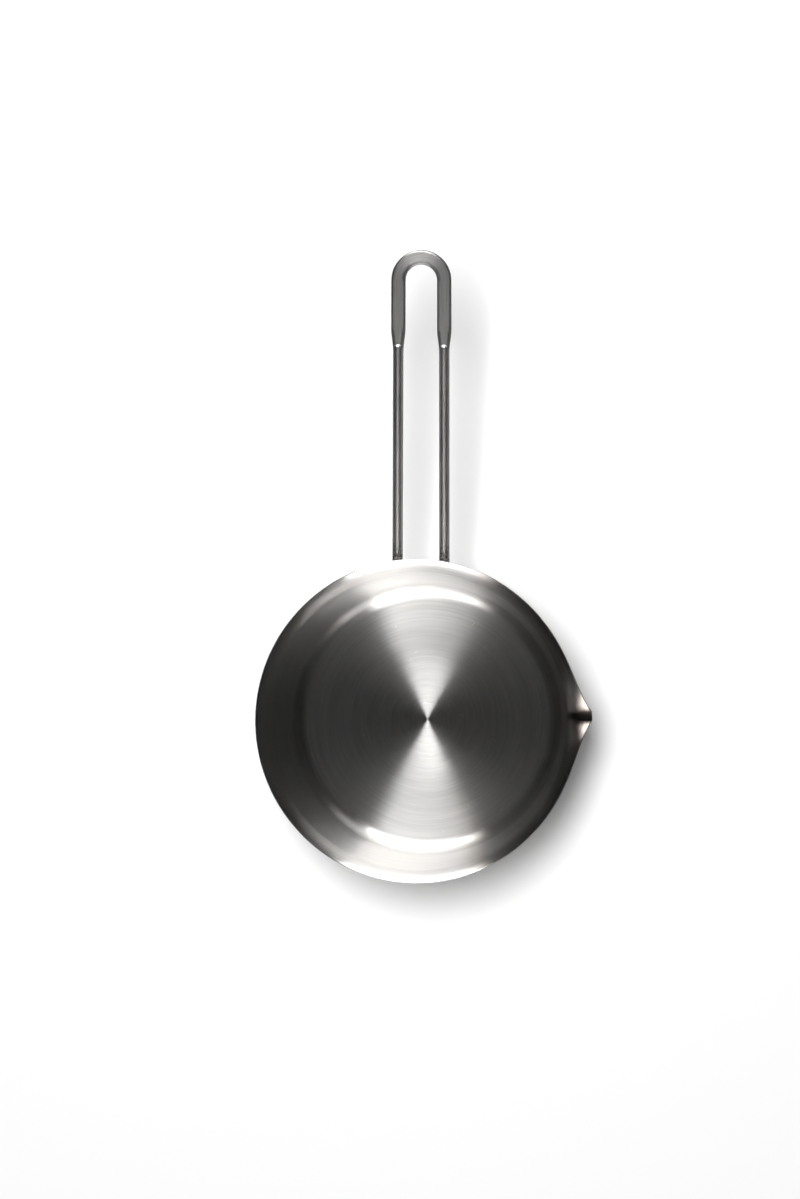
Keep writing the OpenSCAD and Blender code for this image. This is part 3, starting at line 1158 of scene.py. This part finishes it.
@dataclass
class Studio:
    """The plain studio: a white floor, two tall soft boxes, a soft key lamp and dark flags."""

    floor_middle: Place = (-0.015, 0.07, 0.0)
    floor_width: float = 0.56
    floor_length: float = 0.86
    floor_colour: Colour = (0.85, 0.85, 0.85)
    floor_lift: float = 0.05
    box_distance: float = 1.1
    box_half_width: float = 0.58
    box_shift: float = -0.19
    box_lean: float = math.radians(3.7)
    box_low: float = 0.12
    box_high: float = 2.0
    box_heights: Levels = (0.2, 0.8, 1.4)
    box_left_fade: float = 0.3
    box_warm: Colour = (1.0, 0.9, 0.8)
    key_place: Place = (-0.1, 0.36, 2.3)
    key_width: float = 0.58
    key_length: float = 1.0
    key_power: float = 57.0
    flag_radius: float = 2.6
    flag_segments: int = 48
    flag_rings: int = 24
    flag_top_range: Range = (0.93, 0.998)
    flag_top_glow: float = 0.092
    flag_right_range: Range = (0.5, 0.95)
    flag_right_heights: Range = (0.12, 0.35)
    flag_right_glow: float = 0.12
    flag_front_way: Place = (-0.06, -0.434, 0.899)
    flag_front_spread: float = math.radians(24)
    flag_front_glow: float = 0.55
    fill_strength: float = 0.18

    def lay_floor(self) -> None:
        """Lay the white floor, which keeps the pan's shadow."""
        select_only(None)
        bpy.ops.mesh.primitive_plane_add(size=1, location=self.floor_middle)
        floor = new_piece("floor")
        floor.scale = (self.floor_width, self.floor_length, 1)
        bpy.ops.object.transform_apply(location=True, rotation=False, scale=True)
        material, graph = new_material("white_floor")
        lift = graph.times(self.seen_directly(graph), self.floor_lift)
        base = graph.add("BsdfDiffuse", {"Color": (*self.floor_colour, 1.0)}).outputs[0]
        glow = graph.add("Emission", {"Color": (*WHITE, 1.0), "Strength": lift}).outputs[0]
        both = graph.add("AddShader", {0: base, 1: glow}).outputs[0]
        graph.add("OutputMaterial", {"Surface": both})
        floor.data.materials.append(material)

    @staticmethod
    def seen_directly(graph: Graph) -> Socket:
        """Tell the rays that see the white room from those that carry its light.

        Args:
            graph: The graph of the floor or the world.

        Returns:
            1 for what the camera sees, directly, mirrored or through glass, and else 0.
        """
        path = graph.add("LightPath").outputs
        mirrored = graph.math("MAXIMUM", path["Is Glossy Ray"], path["Is Transmission Ray"])
        return graph.math("MAXIMUM", path["Is Camera Ray"], mirrored)

    def set_world(self) -> None:
        """Make the world white where it is seen and a soft fill elsewhere."""
        world = bpy.data.worlds.new("white_room")
        world.use_nodes = True
        bpy.context.scene.world = world
        graph = Graph(world.node_tree)
        strength = graph.range(self.seen_directly(graph), 0.0, 1.0, self.fill_strength, 1.0)
        sky = graph.add("Background", {"Color": (*WHITE, 1.0), "Strength": strength})
        graph.add("OutputWorld", {"Surface": sky.outputs[0]})

    def stand_box(self, box: SoftBox) -> None:
        """Stand one tall soft box beyond an end of the pan, facing it.

        Args:
            box: The soft box, with side 1 beyond the handle and -1 opposite.
        """
        select_only(None)
        middle = Vector((self.box_shift, box.side * self.box_distance, (self.box_low + self.box_high) / 2))
        bpy.ops.mesh.primitive_plane_add(size=2, rotation=(box.side * QUARTER_TURN, 0, 0))
        panel = new_piece(box.name)
        panel.scale = (self.box_half_width, (self.box_high - self.box_low) / 2, 1)
        bpy.ops.object.transform_apply(location=False, rotation=True, scale=True)
        panel.data.transform(Matrix.Rotation(-self.box_lean, 4, "Y"))
        panel.data.transform(Matrix.Translation(middle))
        material, graph = new_material(panel.name)
        place = graph.add("SeparateXYZ", {0: graph.add("TexCoord").outputs["Object"]}).outputs
        height = place["Z"]
        low, mid, high = self.box_heights

        def column(levels: Levels) -> Socket:
            """Lay the levels up one edge of the box, which fades out at the top.

            Args:
                levels: The edge's levels at the box's three heights.

            Returns:
                The level at each height.
            """
            lower = graph.range(height, low, mid, levels[0], levels[1])
            upper = graph.range(height, mid, high, 0.0, levels[2] - levels[1])
            top = graph.range(height, high, self.box_high, 0.0, -levels[2])
            return graph.plus(lower, upper, top)

        left_edge = self.box_shift - self.box_half_width
        across = graph.range(place["X"], left_edge, left_edge + 2 * self.box_half_width)
        left = graph.times(column(box.left), graph.math("SUBTRACT", 1.0, across))
        right = graph.times(column(box.right), across)
        fade = graph.range(place["X"], left_edge, left_edge + self.box_left_fade)
        front = graph.math("SUBTRACT", 1.0, graph.add("NewGeometry").outputs["Backfacing"])
        strength = graph.times(graph.plus(left, right), graph.times(fade, front))
        colour = graph.mix(fade, self.box_warm, WHITE)
        glow = graph.add("Emission", {"Color": colour, "Strength": strength})
        graph.add("OutputMaterial", {"Surface": glow.outputs[0]})
        panel.data.materials.append(material)
        self.show_in_mirrors(panel)

    @staticmethod
    def show_in_mirrors(piece: bpy.types.Object) -> None:
        """Hide a piece from the camera and from matt surfaces, and leave it to the steel's mirror."""
        piece.visible_camera = False
        piece.visible_diffuse = False

    def hang_flags(self) -> None:
        """Hang the dark dome that the steel mirrors beside and between the soft boxes."""
        select_only(None)
        bpy.ops.mesh.primitive_uv_sphere_add(segments=self.flag_segments, ring_count=self.flag_rings,
                                             radius=self.flag_radius)
        flags = new_piece("dark_flags")
        material, graph = new_material(flags.name)
        toward = graph.vector("NORMALIZE", graph.add("TexCoord").outputs["Object"])
        place = graph.add("SeparateXYZ", {0: toward}).outputs
        top = graph.range(place["Z"], *self.flag_top_range, 0.0, self.flag_top_glow)
        right = graph.range(place["X"], *self.flag_right_range, 0.0, self.flag_right_glow)
        low = graph.range(place["Z"], *self.flag_right_heights, 1.0, 0.0)
        ahead = graph.add("VectorMath", {0: toward, 1: self.flag_front_way},
                          operation="DOT_PRODUCT").outputs["Value"]
        front = graph.range(ahead, math.cos(self.flag_front_spread), 1.0)
        front = graph.times(front, front, self.flag_front_glow)
        glow = graph.add("Emission", {"Strength": graph.plus(top, front, graph.times(right, low))})
        graph.add("OutputMaterial", {"Surface": glow.outputs[0]})
        flags.data.materials.append(material)
        self.show_in_mirrors(flags)
        flags.visible_shadow = False
        flags.visible_transmission = False

    def hang_key(self) -> None:
        """Hang the soft key lamp that casts the pan's shadow."""
        select_only(None)
        bpy.ops.object.light_add(type="AREA", location=self.key_place)
        key = bpy.context.active_object
        key.name = "key_lamp"
        key.data.shape = "ELLIPSE"
        key.data.size = self.key_width
        key.data.size_y = self.key_length
        key.data.energy = self.key_power
        key.visible_camera = False
        key.visible_glossy = False

    def build(self) -> None:
        """Build the whole studio."""
        self.lay_floor()
        self.set_world()
        self.stand_box(BACK_BOX)
        self.stand_box(FRONT_BOX)
        self.hang_flags()
        self.hang_key()
        log.info("studio: floor, two soft boxes, flags and key lamp")


@dataclass
class Camera:
    """The camera above the pan, a little to the spout's side."""

    place: Place = (144.09 * MM, 26.41 * MM, 1647.12 * MM)
    aim: Place = (-10.75 * MM, 70.10 * MM, 86 * MM)
    roll: float = math.radians(1.39)
    lens: float = 81.25
    film: float = 36.0
    sight: float = 20.0

    def build(self) -> None:
        """Make the scene's camera."""
        forward = (Vector(self.aim) - Vector(self.place)).normalized()
        right = forward.cross(Vector((0, 1, 0))).normalized()
        up = right.cross(forward)
        rolled_right = math.cos(self.roll) * right + math.sin(self.roll) * up
        rolled_up = math.cos(self.roll) * up - math.sin(self.roll) * right
        data = bpy.data.cameras.new("camera")
        data.lens = self.lens
        data.sensor_width = self.film
        data.sensor_fit = "AUTO"
        data.clip_end = self.sight
        camera = bpy.data.objects.new("camera", data)
        bpy.context.scene.collection.objects.link(camera)
        turned = Matrix((rolled_right, rolled_up, -forward)).transposed().to_4x4()
        camera.matrix_world = Matrix.Translation(self.place) @ turned
        bpy.context.scene.camera = camera


# The pan's finish paints a darker, warmer shade on its spout.
PAN_STEEL = SteelFinish("brushed_pan_steel", Brushing.ROUND, roughness=0.28,
                        spout_shade=(0.52, 0.46, 0.43))
CAP_STEEL = SteelFinish("turned_cap_steel", Brushing.ROUND, fineness=1200.0, swing=0.03, roughness=0.33)
CORE_ALUMINIUM = SteelFinish("core_aluminium", Brushing.ROUND, light=(0.86, 0.86, 0.87),
                             dark=(0.74, 0.74, 0.75), roughness=0.45, anisotropy=0.6)
# The bar's finish paints shade: towards its outline, on its pressed faces and in blotches at its feet.
BAR_STEEL = SteelFinish("satin_bar_steel", Brushing.ALONG, light=(0.80, 0.79, 0.78),
                        dark=(0.40, 0.395, 0.39), roughness=0.33, anisotropy=0.5,
                        rim_shade=0.33, pressed_shade=0.75, foot_shade_tone=0.2, bump_height=0.0000015)
WELD_STEEL = SteelFinish("weld_steel", Brushing.ROUND, roughness=0.3, anisotropy=0.2, swing=0.1)


def main() -> None:
    """Build the saucepan, the studio and the camera."""
    logging.basicConfig(level=logging.INFO, format="%(name)s: %(message)s")
    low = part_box("pan_body")[0]
    bpy.context.scene.view_settings.view_transform = "Standard"
    Camera().build()
    pan = DrawnPan(floor_underside=low.z, finish=PAN_STEEL)
    pan.build()
    bar = BentBar(finish=BAR_STEEL, pan=pan)
    bar.build()
    for side in Side:
        WeldBead(bar=bar, side=side, finish=WELD_STEEL).build()
    CladBase(core_finish=CORE_ALUMINIUM, cap_finish=CAP_STEEL).dress()
    Studio().build()


if __name__ == "__main__":
    main()
